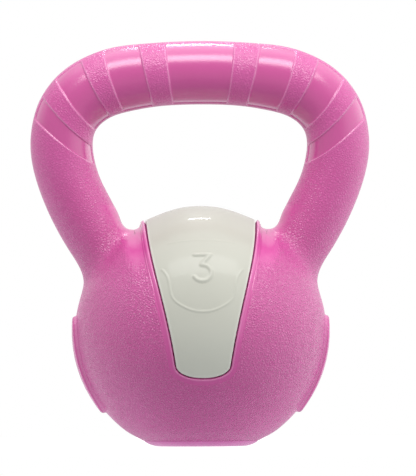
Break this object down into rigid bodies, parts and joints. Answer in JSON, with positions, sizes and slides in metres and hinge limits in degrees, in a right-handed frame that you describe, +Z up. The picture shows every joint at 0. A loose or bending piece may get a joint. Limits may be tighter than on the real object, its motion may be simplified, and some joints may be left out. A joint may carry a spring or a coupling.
{
  "type": "kettlebell",
  "caption": "Plastic-shelled kettlebell: a filled ball with a broad loop handle, recessed grip bands, an inlaid panel front and back, and a flat foot to stand on.",
  "frame": {"origin": "centre of the flat foot, on the surface that the kettlebell stands on", "axes": "+Z up through the middle of the handle, +X along the handle's bar, -Y out of the front panel"},
  "size_m": [0.1714, 0.1266, 0.205],
  "materials": {
    "shell_plastic": "satin",
    "panel_plastic": "satin",
    "cap_plastic": "matte",
    "ballast": "matte"
  },
  "bodies": {
    "root": {"body_shell": "shell_plastic", "ballast_core": "ballast", "front_weight_panel": "panel_plastic", "rear_weight_panel": "panel_plastic", "base_cap": "cap_plastic"}
  },
  "joints": []
}
